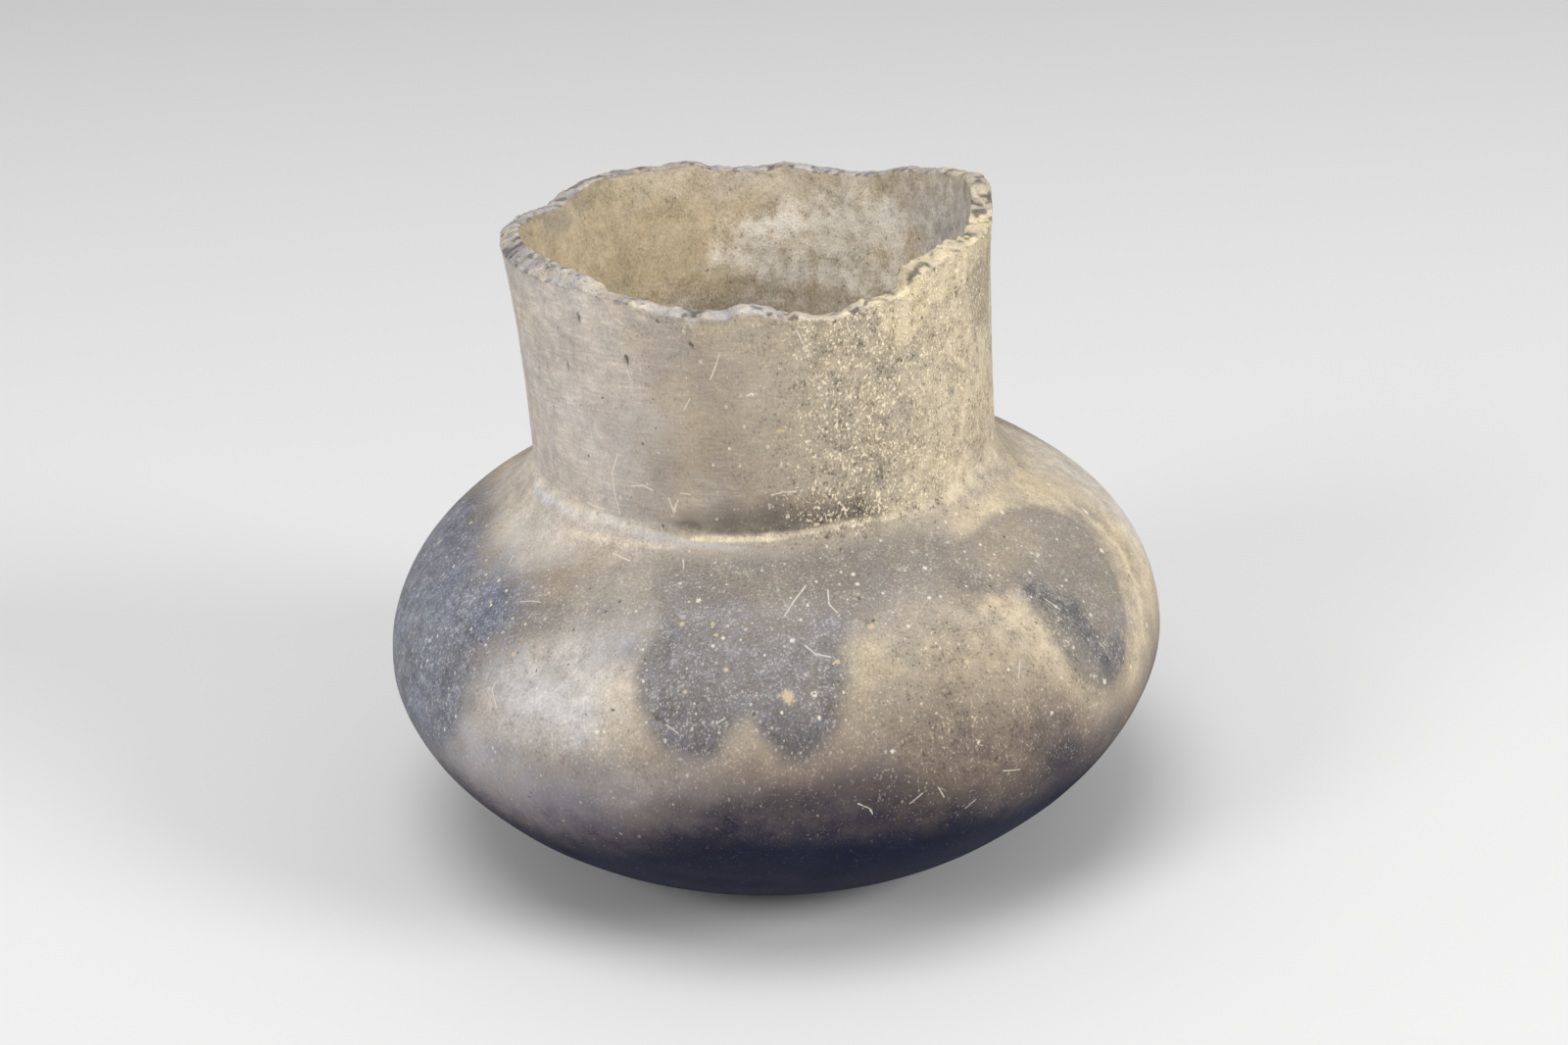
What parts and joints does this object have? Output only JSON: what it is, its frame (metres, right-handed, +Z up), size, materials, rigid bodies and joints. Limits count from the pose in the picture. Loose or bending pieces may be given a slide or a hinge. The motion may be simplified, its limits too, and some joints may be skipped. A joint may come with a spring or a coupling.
{
  "type": "pottery water bottle",
  "caption": "Squat round coil-built earthenware water bottle with a wide upright neck, a broken rim, a flat foot and smoky fire clouds.",
  "frame": {"origin": "middle of the flat foot, on the surface that the bottle stands on", "axes": "+Z up out of the neck, +X to the right and -Y towards the viewer as pictured"},
  "size_m": [0.1998, 0.1998, 0.1687],
  "materials": {
    "body_clay": "unglazed, hand-smoothed, fire-clouded",
    "neck_clay": "unglazed, burnished, worn and crusted at the right",
    "joint_clay": "unglazed, smeared by finger"
  },
  "bodies": {
    "root": {"base_disc": "body_clay", "lower_body_coil_1": "body_clay", "lower_body_coil_2": "body_clay", "lower_body_coil_3": "body_clay", "belly_coil": "body_clay", "shoulder_coil_1": "body_clay", "shoulder_coil_2": "body_clay", "shoulder_coil_3": "body_clay", "neck_coil_1": "neck_clay", "neck_coil_2": "neck_clay", "rim_coil": "neck_clay", "neck_luting_strip": "joint_clay"}
  },
  "joints": []
}
